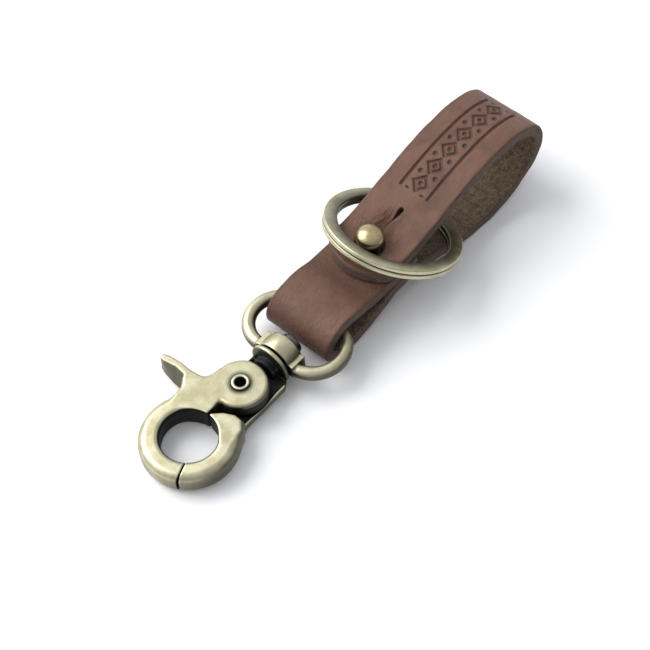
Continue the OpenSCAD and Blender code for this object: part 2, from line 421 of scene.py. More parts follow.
@dataclass(frozen=True)
class BrassFinish:
    """Brushed brass that has been blackened and rubbed back, with painted light on faces turned to the light
    and painted shade on faces turned away.
    """

    name: str
    bright: Colour
    body: Colour
    tarnish_and_shade: Colour
    roughness: float = 0.34
    patina_shade_from: float = 0.12
    patina_shade_to: float = 0.55
    # Share of the body colour in the olive painted shade of faces turned from the light.
    unbuffed_and_shaded: float = 0.22

    def material(self) -> bpy.types.Material:
        """Builds the node material."""
        n = Nodes(self.name)
        cloud = n.noise(n.place(), 0.22, 5, 0.6)
        speck = n.noise(n.place(), 2.4, 6, 0.65)
        hair = n.noise(n.place(scale=(0.35, 5, 5)), 1.4, 4, 0.6, 0.3)
        dark = n.band(n.vary(n.value("patina_and_shade"), cloud, 0.25), self.patina_shade_from, self.patina_shade_to)
        rubbed = n.band(n.vary(n.value("ridge"), speck, 0.3), 0.15, 0.6)
        ground = n.mix(n.band(cloud, 0.3, 0.7), opaque(self.body), opaque(self.bright))
        ground = n.mix(n.band(speck, 0.58, 0.8, 0, 0.45), ground, opaque(self.tarnish_and_shade))
        ground = n.mix(n.math("MULTIPLY", rubbed, 0.6), ground, opaque(self.bright))
        # Faces turned from the light get the olive colour: painted shade on the side walls, with the dull
        # unpolished tone.
        keep = self.unbuffed_and_shaded
        olive = opaque(tuple(keep * b + (1 - keep) * t for b, t in zip(self.body, self.tarnish_and_shade)))
        ground = n.mix(n.band(n.vary(n.value("buffed_and_lit"), cloud, 0.3), 0.1, 0.9), olive, ground)
        # Dark colour: patina in recesses, and painted shade where a piece was darkened for shade.
        colour = n.mix(dark, ground, opaque(self.tarnish_and_shade))
        n.feed(n.shader.inputs["Base Color"], colour)
        n.shader.inputs["Metallic"].default_value = 1
        rough = n.band(hair, 0.25, 0.75, self.roughness - 0.06, self.roughness + 0.08)
        n.feed(n.shader.inputs["Roughness"], n.math("ADD", rough, n.math("MULTIPLY", dark, 0.22)))
        fine = n.relief(hair, 0.00002, 0.25)
        n.feed(n.shader.inputs["Normal"], n.relief(speck, 0.00003, 0.25, fine))
        return n.material


@dataclass(frozen=True)
class LeatherFinish:
    """Vegetable-tanned leather: waxed grain side, rubbed-smooth cut edges and a rough flesh side."""

    name: str = "strap_leather"
    grain: Colour = (0.153, 0.070, 0.043)
    grain_dark: Colour = (0.076, 0.030, 0.018)
    edge: Colour = (0.130, 0.076, 0.054)
    edge_dark: Colour = (0.050, 0.028, 0.019)
    flesh: Colour = (0.265, 0.185, 0.113)
    flesh_dark: Colour = (0.066, 0.043, 0.027)

    def material(self) -> bpy.types.Material:
        """Builds the node material."""
        n = Nodes(self.name)
        lay = n.place("lay")
        side = n.value("side")
        cloud = n.noise(lay, 0.12, 5, 0.55, 0.4)
        pores = n.cells(lay, 3.2)
        creases = n.cells(n.place("lay", (1.0, 1.9, 1)), 1.15, "DISTANCE_TO_EDGE")
        grit = n.noise(lay, 4.5, 6, 0.7)
        patch = n.noise(n.place("lay", (0.6, 1.0, 1.0)), 0.30, 6, 0.62, 0.8)
        blot = n.math("MAXIMUM", n.band(cloud, 0.42, 0.74), n.band(patch, 0.5, 0.8))
        grain = n.mix(n.math("MULTIPLY", blot, 0.62), opaque(self.grain), opaque(self.grain_dark))
        grain = n.mix(n.band(grit, 0.55, 0.8, 0, 0.22), grain, opaque(self.grain_dark))
        # Grain darkened at tooled impressions and by handling on the long edges, with painted shade at the
        # fold's nose and painted shadow where the flap's tip sits.
        grain = n.mix(n.value("press_wear_and_shade"), grain, opaque(self.grain_dark))
        fibre = n.noise(n.place("lay", (1.0, 2.4, 2.4)), 1.5, 8, 0.72, 0.9)
        mottle = n.noise(lay, 0.6, 6, 0.65)
        fuzz = n.noise(lay, 3.0, 6, 0.75, 0.8)
        flesh_mix = n.math("MULTIPLY", n.band(fibre, 0.38, 0.6), n.band(mottle, 0.25, 0.6))
        flesh = n.mix(flesh_mix, opaque(self.flesh_dark), opaque(self.flesh))
        flesh = n.mix(n.band(fuzz, 0.6, 0.8, 0, 0.5), flesh, opaque(tuple(1.5 * c for c in self.flesh)))
        layers = n.noise(n.place("lay", (0.35, 0.35, 4)), 1.2, 5, 0.6)
        edge = n.mix(n.band(layers, 0.35, 0.7), opaque(self.edge_dark), opaque(self.edge))
        on_grain = n.band(side, -0.5, -0.9)
        on_flesh = n.band(side, 0.5, 0.8)
        colour = n.mix(on_grain, n.mix(on_flesh, edge, flesh), grain)
        colour = n.mix(n.value("shade"), colour, opaque(tuple(0.35 * c for c in self.edge_dark)))
        n.feed(n.shader.inputs["Base Color"], colour)
        dull = n.math("MULTIPLY", n.math("SUBTRACT", 1.0, on_grain), 0.3)
        waxed = n.band(n.noise(lay, 0.7, 5, 0.6), 0.3, 0.7, 0.46, 0.58)
        rough = n.math("ADD", n.math("ADD", dull, waxed), n.math("MULTIPLY", on_flesh, 0.1))
        n.feed(n.shader.inputs["Roughness"], rough)
        n.shader.inputs["Specular IOR Level"].default_value = 0.42
        n.shader.inputs["Sheen Weight"].default_value = 0.03
        n.shader.inputs["Sheen Roughness"].default_value = 0.5
        skin = n.relief(n.band(pores, 0.0, 0.45), 0.00005, 0.35)
        skin = n.relief(n.band(creases, 0.0, 0.12), 0.00009, 0.5, skin)
        skin = n.relief(grit, 0.00010, 0.6, skin)
        wrinkles = n.noise(n.place("lay", (0.35, 1.5, 1.0)), 1.0, 5, 0.62, 1.4)
        skin = n.relief(n.math("MULTIPLY", wrinkles, n.value("crumple")), 0.0013, 1.0, skin)
        rough_height = n.math("ADD", fibre, n.math("MULTIPLY", fuzz, 0.6))
        shag = n.relief(n.math("MULTIPLY", rough_height, on_flesh), 0.0006, 0.8, skin)
        n.feed(n.shader.inputs["Normal"], shag)
        return n.material


class Metal(Enum):
    """The metal finishes of the piece's fittings."""

    ANTIQUE = BrassFinish(
        "antique_brass", (0.555, 0.52, 0.36), (0.385, 0.355, 0.225), (0.026, 0.026, 0.027))
    DARK = BrassFinish(
        "dark_brass", (0.20, 0.20, 0.17), (0.10, 0.10, 0.09), (0.018, 0.018, 0.018), 0.3)
    STUD = BrassFinish(
        "stud_brass", (0.52, 0.44, 0.25), (0.34, 0.27, 0.13), (0.05, 0.04, 0.025), 0.27)
    STEEL = BrassFinish(
        "spring_wire", (0.60, 0.60, 0.60), (0.45, 0.45, 0.46), (0.10, 0.10, 0.10), 0.3)


# ---------------------------------------------------------------- strap

def smooth_line(points: Outline, steps: int) -> Array:
    """Smooth curve through all its points, with that many steps between two of them."""
    p = np.array([points[0], *points, points[-1]], float)
    t = np.arange(steps)[:, None] / steps
    out = []
    for a, b, c, d in zip(p, p[1:], p[2:], p[3:]):
        out.append(0.5 * (2 * b + (c - a) * t + (2 * a - 5 * b + 4 * c - d) * t ** 2
                          + (3 * b - a - 3 * c + d) * t ** 3))
    return np.vstack([*out, p[-1:]])


@dataclass
class Strap:
    """The leather strap, made flat and then laid along its folded middle line.

    Lengths are in millimetres. Along the strap runs from the hidden tail end to the flap's
    tip, across is measured from its centre line, and depth from its middle, flesh side up.
    """

    width: float = 20.0
    thickness: float = 3.2
    centre_y: float = 1.0
    edge_round: float = 0.55
    tip_radius: float = 12.6
    hole_radius: float = 3.85
    shank_radius: float = 2.35
    slit_length: float = 13.2
    stud_x: float = 66.0
    seam_x: float = 90.0
    line: Outline = (
        (73, 11.3), (66, 11), (60.5, 10.7), (55, 10.7), (49.5, 11.3), (45.6, 11.1), (42.2, 9.8),
        (40, 7.3), (40.2, 4.3), (43, 2.2), (48.1, 1.62), (54.9, 3.2), (60.5, 5.6), (66, 7.45),
        (71, 7.85), (78, 6.5), (86, 4.35), (93, 2.6), (100, 1.7), (106, 1.95), (111.3, 3.3),
        (116, 5.6), (119.6, 8.3), (121.8, 11.2), (122.6, 14.2), (121.9, 17.6), (119.6, 20.9),
        (115.5, 23.2), (110.4, 24.4), (104.5, 24.45), (96.6, 23.3), (88.8, 21.1), (81.6, 18.6),
        (75, 16.4), (70.5, 15.1), (66, 14.5), (61.5, 14.3), (57.2, 14.4))
    line_steps: int = 24
    stamp_from_x: float = 83.5
    stamp_to_x: float = 117.5
    stamp_depth: float = 0.45

    def __post_init__(self) -> None:
        """Measures the middle line and finds the stud, the seam and the stamped band along it."""
        self.path = smooth_line(self.line, self.line_steps)
        leg = np.linalg.norm(np.diff(self.path, axis=0), axis=1)
        self.along = np.concatenate([[0], np.cumsum(leg)])
        self.length = float(self.along[-1])
        turn = np.gradient(self.path, self.along, axis=0)
        window = np.hanning(31)[1:-1]
        ends = len(window) // 2
        padded = np.pad(turn, ((ends, ends), (0, 0)), mode="edge")
        turn = np.stack([np.convolve(padded[:, k], window / window.sum(), "valid") for k in (0, 1)], 1)
        self.turn = turn / np.linalg.norm(turn, axis=1, keepdims=True)
        self.hole_at = self.find(self.stud_x, last=True)
        self.tail_hole_at = self.find(self.stud_x, last=False)
        self.low_hole_at = self.find(self.stud_x, last=False, after=self.tail_hole_at + 20)
        self.seam_at = self.find(self.seam_x, last=False, after=self.low_hole_at)
        self.stamp_low = self.find(self.stamp_to_x, last=True)
        self.stamp_high = self.find(self.stamp_from_x, last=True)

    def find(self, x: float, last: bool, after: float = 0.0) -> float:
        """Length along the strap where its middle line passes x, first or last time after a length."""
        d = self.path[:, 0] - x
        hits = np.nonzero((d[:-1] * d[1:] <= 0) & (self.along[:-1] > after))[0]
        k = hits[-1 if last else 0]
        return float(self.along[k] + (self.along[k + 1] - self.along[k]) * d[k] / (d[k] - d[k + 1]))

    def stamp(self, s: Array, y: Array) -> Array:
        """Depth share from 0 to 1 of the tooled band: lozenges and dots between two lines."""
        count, middle, half = 6, 0.2, 4.3
        line_half, lozenge_half, stroke, dot_radius = 0.36, 1.5, 0.38, 0.62
        bead_radius, bead_out, edge_width, far_off, slant = 0.58, 2.35, 0.07, 9, 1.379
        reach = self.stamp_high - self.stamp_low
        t = (s - self.stamp_low) / reach
        v = y - middle
        pitch = reach / count
        local = (np.mod(t * count, 1) - 0.5) * pitch
        inside = between(t, 0, 1) * reach
        frame_line = np.maximum(np.abs(np.abs(v) - half) - line_half, inside)
        lozenge = (np.abs(local) * 0.95 + np.abs(v)) / slant - lozenge_half
        ring = np.abs(lozenge) - stroke
        dot = np.hypot(local, v) - dot_radius
        near = np.abs(np.mod(t * count + 0.5, 1) - 0.5) * pitch
        beads = np.hypot(near, np.abs(v) - bead_out) - bead_radius
        tool = np.minimum(np.minimum(ring, dot), beads)
        tool = np.where(inside < -0.1, tool, far_off)
        return 1 / (1 + np.exp(np.minimum(tool, frame_line) / edge_width))

    def outline_distance(self, s: Array, y: Array) -> Array:
        """Distance to the flat strap's cut outline, seen from above."""
        ripple = 0.07 * waves(s, y * 0, 9.0, 0.4)
        wide = np.abs(y) - self.width / 2 + ripple
        tip = np.where(s > self.length - self.tip_radius,
                       np.hypot(s - self.length + self.tip_radius, y) - self.tip_radius, wide)
        return np.maximum(np.maximum(wide, tip), -s)

    def slit(self, s: Array, y: Array) -> Array:
        """Distance to the slit behind the button hole, which opens at its far end."""
        run = self.hole_at - s
        bend = 0.25 * np.sin(run * 0.35)
        half = 0.25 + 0.45 * ramp(run, 8.0, 11.4) ** 1.3
        past = np.maximum(run - self.slit_length + 0.6, 0) + np.maximum(1 - run, 0)
        return np.hypot(y - bend, past) - half

    def field(self, s: Array, y: Array, n: Array) -> Array:
        """Distance to the flat strap with its holes, slit and stamped band."""
        half = self.thickness / 2
        pressed = self.stamp_depth * self.stamp(s, y)
        level = np.maximum(-n - half + pressed, n - half)
        d = rounded(self.outline_distance(s, y), level, self.edge_round)
        d = cut(d, np.hypot(s - self.hole_at, y) - self.hole_radius, 0.5)
        d = cut(d, self.slit(s, y), 0.35)
        for at in (self.tail_hole_at, self.low_hole_at):
            d = cut(d, np.hypot(s - at, y) - self.shank_radius, 0.1)
        seat_radius, seat_depth = 4.1, 0.55
        seat = np.maximum(np.hypot(s - self.low_hole_at, y) - seat_radius, n + half - seat_depth)
        return cut(d, seat, 0.1)

    def worn_and_shaded(self, s: Array, y: Array) -> Array:
        """Share from 0 to 1 of grain darkening: painted shade round the fold's nose, painted shadow with a
        darker patch where the flap's tip sits, and handling darkening along the long edges.
        """
        nose = float(self.along[np.argmin(self.path[:, 0])])
        seat = self.find(54.6, last=False)
        at_nose = ramp(s, nose - 5.5, nose - 0.5) * ramp(s, nose + 12, nose + 7)
        at_seat = np.exp(-((s - seat) / 3.6) ** 2)
        at_edge = ramp(np.abs(y), 8.7, 9.9)
        return 1 - (1 - 0.95 * at_nose) * (1 - 0.75 * at_seat) * (1 - 0.6 * at_edge)

    def lay_down(self, flat: Array) -> Array:
        """Bends flat points along the middle line and adds the leather's small unevenness.

        Args:
            flat: Points as length along, distance across and depth.

        Returns:
            The points in the row frame, in millimetres.
        """
        s, y, n = flat.T
        centre = np.stack([np.interp(s, self.along, self.path[:, k]) for k in (0, 1)], 1)
        turn = np.stack([np.interp(s, self.along, self.turn[:, k]) for k in (0, 1)], 1)
        turn /= np.linalg.norm(turn, axis=1, keepdims=True)
        run = self.hole_at - s
        lip_up, lip_down, under_share = 1.2, 0.26, 0.12
        on_lip = ramp(run, 1.5, 5.5) * ramp(run, self.slit_length, self.slit_length - 3.5)
        on_lip *= under_share + (1 - under_share) * held((self.thickness / 2 - n) / self.thickness)
        left = lip_up * on_lip * np.exp(-((y - 0.7) / 1.9) ** 2) * (y > -0.1)
        right = -lip_down * on_lip * np.exp(-((y + 1.0) / 1.2) ** 2)
        near_slit = np.exp(-((run - 6.4) / 3.2) ** 2) * np.exp(-((y - 3.0) / 2.1) ** 2)
        ripple = np.cos((y + 0.34 * run) * 4.2) + 0.6 * np.cos((y + 0.22 * run) * 7.9 + 1)
        folds = 0.15 * near_slit * ripple
        depth = n + left + right + folds + 0.07 * waves(s, y, 17.0, 1.7) + 0.03 * waves(s, y, 6.0, 0.3)
        x = centre[:, 0] - turn[:, 1] * depth
        z = centre[:, 1] + turn[:, 0] * depth
        return np.stack([x, self.centre_y + y, z], 1)

    def skin(self) -> Skin:
        """Meshes the whole strap, flat first and then folded."""
        fine, coarse, end_room = 0.24, 0.55, 0.8
        stops = [-end_room, self.stamp_low - 1.5, self.stamp_high + 1.0, self.hole_at - self.slit_length - 1,
                 self.hole_at + self.hole_radius + 1, self.length + end_room]
        steps = [coarse, fine, coarse, fine, coarse]
        lines = [spaced(a, b, h)[:-1] for a, b, h in zip(stops, stops[1:], steps)]
        half = self.width / 2 + 0.6
        depth = self.thickness / 2
        levels = np.concatenate([spaced(-depth - 0.3, -depth + 0.9, 0.2)[:-1],
                                 spaced(-depth + 0.9, depth - 0.8, 0.5)[:-1],
                                 spaced(depth - 0.8, depth + 0.3, 0.22)])
        along = np.concatenate([*lines, stops[-1:]])
        skin = carve(self.field, along, spaced(-half, half, fine), levels)
        flat = skin.points.copy()
        g = slope(self.field, flat)
        skin.values["side"] = g[:, 2] / np.maximum(np.linalg.norm(g, axis=1), 1e-6)
        s, y, n = flat.T
        tooled = self.stamp(s, y) * 0.75
        run, on_grain = self.hole_at - s, n < 0
        # Grain darkening: tooled impressions, handling on the long edges, painted shade round the fold's
        # nose and painted shadow where the flap's tip sits.
        skin.values["press_wear_and_shade"] = np.maximum(tooled, self.worn_and_shaded(s, y)) * on_grain
        skin.values["lay"] = flat
        skin.values["shade"] = 0.45 * held(0.5 - self.slit(s, y) / 0.25) * (np.abs(n) < 1.25)
        creased = np.exp(-((run - 4.5) / 4.5) ** 2 - ((y - 1.5) / 4.0) ** 2)
        skin.values["crumple"] = (0.12 + creased) * on_grain
        skin.points = self.lay_down(flat)
        return skin

    def build(self, finish: LeatherFinish) -> list[bpy.types.Object]:
        """Builds the strap's two runs, which meet at a seam on the lower run.

        Args:
            finish: The leather's look.

        Returns:
            The run that stays with the stud, and the run past the seam that carries the flap.
        """
        whole = self.skin()
        early = whole.values["lay"][whole.faces][:, :, 0].mean(1) < self.seam_at
        material = finish.material()
        pieces = []
        for name, pick in (("leather_wrap", early), ("leather_loop", ~early)):
            used, faces = np.unique(whole.faces[pick], return_inverse=True)
            values = {key: value[used] for key, value in whole.values.items()}
            part = Skin(whole.points[used], faces.reshape(-1, 4), values)
            piece = build_object(name, part)
            close_end(piece)
            piece.data.materials.append(material)
            pieces.append(piece)
        wrap, loop = pieces
        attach(wrap, "strap")
        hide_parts("strap_base")
        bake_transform(loop)
        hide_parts("strap_flap")
        return pieces


def close_end(piece: bpy.types.Object) -> None:
    """Caps a piece's open end with one flat face, so that it is a closed solid."""
    work = bmesh.new()
    work.from_mesh(piece.data)
    rim = [e for e in work.edges if e.is_boundary]
    made = bmesh.ops.holes_fill(work, edges=rim, sides=0)["faces"]
    for face in made:
        face.smooth = False
        for edge in face.edges:
            edge.smooth = False
    work.to_mesh(piece.data)
    work.free()


# ---------------------------------------------------------------- snap hook and swivel

@dataclass
class Hook:
    """The trigger snap hook and its swivel eye, in the hook's own axes.

    Lengths are in millimetres from the opening's centre on the flat back: u runs along the
    swivel towards the strap, v to the thumb lever's side and w out of the back. Each solid
    takes places u, v and w and returns how far outside it they are.
    """

    opening: float = 7.0
    outer: float = 12.3
    thickness: float = 6.4
    pivot: tuple[float, float] = (18.4, 0.4)
    disc: float = 6.9
    plate: float = 2.0
    split_from: tuple[float, float] = (-6.7, -4.8)
    split_to: tuple[float, float] = (-10.4, -6.2)
    collar: tuple[float, float, float] = (27.8, 29.1, 5.7)
    barrel: tuple[float, float, float] = (29.5, 34.6, 5.2)
    eye_centre: tuple[float, float] = (38.9, 0.75)
    eye_half: float = 5.5
    eye_bend: float = 7.9
    wire: float = 1.75
    post: float = 2.3
    rivet: float = 1.8
    grid: float = 0.25
    round_outside: float = 2.35
    round_inside: float = 1.5
    opening_edge: float = 0.45
    half_gap: float = 0.14
    skim: float = 0.03
    right_half: Outline = ((-14, -14), (16, -14), (11.0, -7.6), (10.4, -5.0), (9.1, -2.4),
                           (7.3, -0.4), (-14, -0.4))
    beak: Outline = ((5.6, -0.5), (7.6, -0.55), (9.3, -2.3), (10.6, -4.6), (11.1, -6.9),
                     (8.9, -8.6), (4.4, -7.6))
    back_plate: Outline = ((8.6, -8.3), (11.1, -7.3), (12.6, -6.7), (26.2, -6.6), (28.0, -5.4),
                           (28.0, 5.5), (24.0, 5.6), (12.0, 0.0), (7.6, -1.5))
    left_half: Outline = ((-16, -16), (-16, 16), (9.2, 10.6), (10.0, 1.3), (0.0, 1.3), (0, 0), (0, -16))
    neck: Outline = ((7.3, 1.25), (11.5, 1.2), (16.5, 2.5), (18.0, 6.9), (16.2, 7.6), (14.8, 8.4),
                     (13.4, 10.0), (12.6, 12.0), (10.6, 12.4), (8.4, 10.9), (6.5, 10.2), (5.0, 8.2),
                     (6.6, 4.2))
    lever_foot: Outline = ((9.7, 9.5), (10.1, 13.6), (10.3, 16.1), (10.9, 19.2), (11.6, 21.4),
                           (12.6, 21.2), (13.0, 19.5), (13.3, 16.0), (13.2, 12.0), (12.8, 9.5))
    lever_top: Outline = ((9.9, 9.0), (10.3, 10.6), (11.6, 12.7), (11.9, 15.6), (11.1, 19.3),
                          (11.4, 20.5), (12.7, 20.6), (13.3, 19.0), (13.7, 15.5), (13.5, 12.5),
                          (13.7, 10.5), (13.4, 9.0))

    def __post_init__(self) -> None:
        """Takes the hook's axes and origin from the frame's joints."""
        joints = {j["name"]: j for j in frame["joints"]}
        along = Vector(joints["hook_swivel"]["axis"]).normalized()
        out = -Vector(joints["trigger_open"]["axis"]).normalized()
        side = out.cross(along)
        pin = Vector(joints["trigger_open"]["pos_m"])
        self.mid = self.thickness / 2
        origin = pin - (self.pivot[0] * along + self.pivot[1] * side + self.mid * out) * MM
        self.to_frame = Matrix((along, side, out)).transposed().to_4x4()
        self.to_frame.translation = origin

    def from_pivot(self, u: Array, v: Array) -> Array:
        """Distance from the rivet's axis."""
        return np.hypot(u - self.pivot[0], v - self.pivot[1])

    def from_swivel(self, v: Array, w: Array) -> Array:
        """Distance from the swivel's axis."""
        return np.hypot(v, w - self.mid)

    def ring_section(self, u: Array, v: Array, w: Array) -> Array:
        """The hook's whole round ring, well rounded outside and less so inside."""
        reach, level = np.hypot(u, v), between(w, 0, self.thickness)
        outside = rounded(reach - self.outer, level, self.round_outside)
        return np.maximum(outside, rounded(self.opening - reach, level, self.round_inside))

    def split_side(self, u: Array, v: Array) -> Array:
        """Distance past the slanting line where the ring's halves part, positive on the fixed half."""
        (u0, v0), (u1, v1) = self.split_from, self.split_to
        reach = math.hypot(u1 - u0, v1 - v0)
        return ((u - u0) * (v0 - v1) + (v - v0) * (u1 - u0)) / reach

    def body(self, u: Array, v: Array, w: Array) -> Array:
        """Fixed half: right side of the ring with its beak, rimmed back plate, end block and collar."""
        t = self.thickness
        d = np.maximum(self.ring_section(u, v, w), self.half_gap - self.split_side(u, v))
        d = np.maximum(d, outline(u, v, self.right_half))
        d = join(d, rounded(outline(u, v, self.beak), between(w, 0.2, t + self.skim), 1.4), 2.6)
        d = np.maximum(d, w - t + self.skim)
        plate = join(outline(u, v, self.back_plate), self.from_pivot(u, v) - self.disc, 0.8)
        d = join(d, rounded(plate, between(w, 0, self.plate), 0.35), 0.4)
        rim_width, rim_height, sunk_from = 0.75, 0.5, 12.5
        sunk = np.maximum(plate + rim_width, self.plate - rim_height - w)
        d = cut(d, np.maximum(sunk, sunk_from - u), 0.3)
        low, high, radius = self.collar
        axle = self.from_swivel(v, w)
        block = np.maximum(np.abs(v) - 3.1, between(w, 0.2, 4.6))
        block = np.minimum(block, axle - self.post - 0.6)
        d = join(d, rounded(block, between(u, 25.9, low + 0.5), 0.3), 0.4)
        d = join(d, rounded(axle - radius, between(u, low, high - 0.15), 0.4), 0.35)
        d = cut(d, np.maximum(axle - 4.6, high - 0.55 - u), 0.25)
        d = cut(d, np.maximum(axle - self.post - 0.02, between(u, 26.3, 40)), 0.05)
        d = cut(d, np.hypot(u, v) - self.opening, self.opening_edge)
        return cut(d, self.from_pivot(u, v) - self.rivet, 0.1)

    def trigger(self, u: Array, v: Array, w: Array) -> Array:
        """Moving half: disc, neck, thumb lever and left side of the ring."""
        t = self.thickness
        reach = self.from_pivot(u, v)
        widening = 0.3 * ramp(np.hypot(u, v), 10.6, 12.3)
        d = np.maximum(self.ring_section(u, v, w), self.split_side(u, v) + self.half_gap + widening)
        d = np.maximum(d, outline(u, v, self.left_half))
        web = join(outline(u, v, self.neck), reach - self.disc, 1.6)
        d = join(d, rounded(web, between(w, -2, t + self.skim), 1.2), 2.6)
        foot, top = outline(u, v, self.lever_foot), outline(u, v, self.lever_top)
        lever = foot + held(w / t) * (top - foot)
        d = join(d, rounded(lever, between(w, 0.1, t - 0.05), 0.4), 1.2)
        d = np.maximum(np.maximum(d, w - t + self.skim), -w)
        d = cut(d, np.maximum(reach - self.disc - 0.35, w - self.plate - 0.3), 0.1)
        d = cut(d, np.hypot(u, v) - self.opening, self.opening_edge)
        d = cut(d, np.maximum(reach - 4.3, w - self.plate - 2.3), 0.1)
        return cut(d, reach - self.rivet - 0.05, 0.1)

    def eye(self, u: Array, v: Array, w: Array) -> Array:
        """Oval wire eye with its barrel and the two bosses where the wire leaves it."""
        low, high, radius = self.barrel
        eu, ev = u - self.eye_centre[0], v - self.eye_centre[1]
        across = np.maximum(np.abs(ev) - self.eye_half, 0)
        d = np.hypot(np.hypot(eu, across) - self.eye_bend, w - self.mid) - self.wire
        for side in (-1, 1):
            boss = np.maximum(np.abs(v - side * 5.0) - 1.05, between(w, self.mid - 2.1, self.mid + 2.1))
            d = join(d, rounded(boss, between(u, low + 0.15, high - 0.2), 0.3), 0.35)
        axle = self.from_swivel(v, w)
        swell = radius + 0.12 * np.cos((u - (low + high) / 2) * 0.9)
        d = join(d, rounded(axle - swell, between(u, low, high), 0.5), 0.2)
        return cut(d, np.maximum(axle - self.post - 0.05, between(u, low - 9, high + 0.6)), 0.12)

    def post_solid(self, u: Array, v: Array, w: Array) -> Array:
        """Swivel post: shank through the barrel and domed head inside the eye."""
        axle = self.from_swivel(v, w)
        head = self.barrel[1] + 0.1
        shank = np.maximum(axle - self.post, between(u, self.collar[0] - 1.3, head + 0.5))
        dome = rounded(axle - 2.9 + 0.02 * (u - head) ** 2, between(u, head, head + 2.1), 0.55)
        return join(dome, shank, 0.05)

    def rivet_solid(self, u: Array, v: Array, w: Array) -> Array:
        """Hollow rivet with its rolled rim."""
        reach, top = self.from_pivot(u, v), self.thickness
        tube = np.maximum(reach - self.rivet, between(w, 0.1, top + 0.1))
        rim = np.hypot(np.maximum(np.abs(reach - 1.82) - 0.12, 0), w - top - 0.2) - 0.32
        bore = np.maximum(reach - 1.32 - 0.25 * held((w - top) / 0.5) ** 2, -1.5 - w)
        return cut(join(tube, rim, 0.15), bore, 0.12)

    def together(self, u: Array, v: Array, w: Array) -> Array:
        """Everything on the swivel's axis, for weathering."""
        solids = (self.body, self.trigger, self.eye, self.post_solid, self.rivet_solid)
        return np.minimum.reduce([solid(u, v, w) for solid in solids])

    @staticmethod
    def polish_and_light(u: Array, v: Array, w: Array) -> Array:
        """How bright a face is painted from its normal: polish with painted light over the front, and
        painted light on faces turned towards -u and +v.
        """
        return (np.abs(w) - 0.34) / 0.5 + 0.22 * v - 0.2 * u

    def wear_and_light(self, name: str, skin: Skin) -> None:
        """Paints shade on the opening's inner walls, the disc's flank and the back plate's sunk panel,
        darkens the rivet's surround with patina, and paints a highlight on the ring's outside.

        Args:
            name: Name of the piece.
            skin: Its weathered skin, in the hook's axes.
        """
        u, v, w = skin.points.T
        normals = skin.normals()
        across = np.hypot(u, v)
        facing = -(u * normals[:, 0] + v * normals[:, 1]) / np.maximum(across, 1)
        # Walls of the opening that face its centre are painted dark: painted shade inside the opening, along
        # with patina.
        darken(skin, 0.7 * ramp(facing, 0.45, 0.85) * held(9.6 - across))
        if name in ("hook_casting", "trigger_casting"):
            # Faces round the ring turned towards -u get a painted highlight, as from the light on that side.
            on_ring = held(13.2 - across) * held(9.5 - v)
            skin.values["buffed_and_lit"] = held(skin.values["buffed_and_lit"] + 0.55 * held(-normals[:, 0]) * on_ring)
        if name == "trigger_casting":
            reach = self.from_pivot(u, v)
            darken(skin, 0.52 * ramp(reach, 4.5, 2.2))
            # The disc's flank on its lower side is painted dark: painted shade under the disc's edge.
            flank = ramp(reach, 6.5, 6.8) * ramp(reach, 7.4, 7.2) * ramp(w, 5.6, 4.8)
            darken(skin, 0.62 * flank * held(3.5 - v))
        if name == "hook_casting":
            # The back plate's sunk panel is painted dark: painted shadow on the plate.
            sunk = ramp(u, 12.2, 13.0) * ramp(u, 27.9, 27.6) * ramp(v, -6.3, -5.8)
            darken(skin, 0.8 * sunk * held(w / 0.8 - 0.6))

    def build(self) -> list[bpy.types.Object]:
        """Builds and dresses every piece of the hook and the eye.

        Returns:
            The pieces, riding on their bodies.
        """
        brass, dark = (Metal.ANTIQUE, "antique_brass"), (Metal.DARK, "dark_brass")
        plan = (
            ("hook_casting", self.body, ((-13, 30), (-13.3, 8), (-3.2, 9.6)), self.grid,
             "hook", "hook_body", brass),
            ("trigger_casting", self.trigger, ((-13, 26.2), (-8.6, 22.2), (-0.6, 7.2)), self.grid,
             "trigger", "trigger", brass),
            ("eye_casting", self.eye, ((28.9, 49.3), (-15.1, 16.6), (-2.6, 9.0)), self.grid,
             "eye", "swivel_eye", brass),
            ("post", self.post_solid, ((26.2, 37.4), (-3.4, 3.4), (-0.3, 6.7)), 0.2,
             "hook", "swivel_post", dark),
            ("rivet", self.rivet_solid, ((15.9, 20.9), (-2.1, 2.9), (-0.3, 7.4)), 0.11,
             "hook", "pivot_rivet", brass))
        finishes = {kind: kind.value.material() for kind in (Metal.ANTIQUE, Metal.DARK)}
        pieces = []
        for name, solid, box, step, body, node, (metal, slot) in plan:
            skin = carve(solid, *(spaced(a, b, step) for a, b in box))
            weather_and_light(skin, self.together, self.polish_and_light)
            self.wear_and_light(name, skin)
            piece = build_object(name, skin, self.to_frame)
            piece.data.materials.append(finishes[metal])
            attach(piece, body)
            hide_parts(node)
            pieces.append(piece)
        return pieces


# ---------------------------------------------------------------- split ring and stud

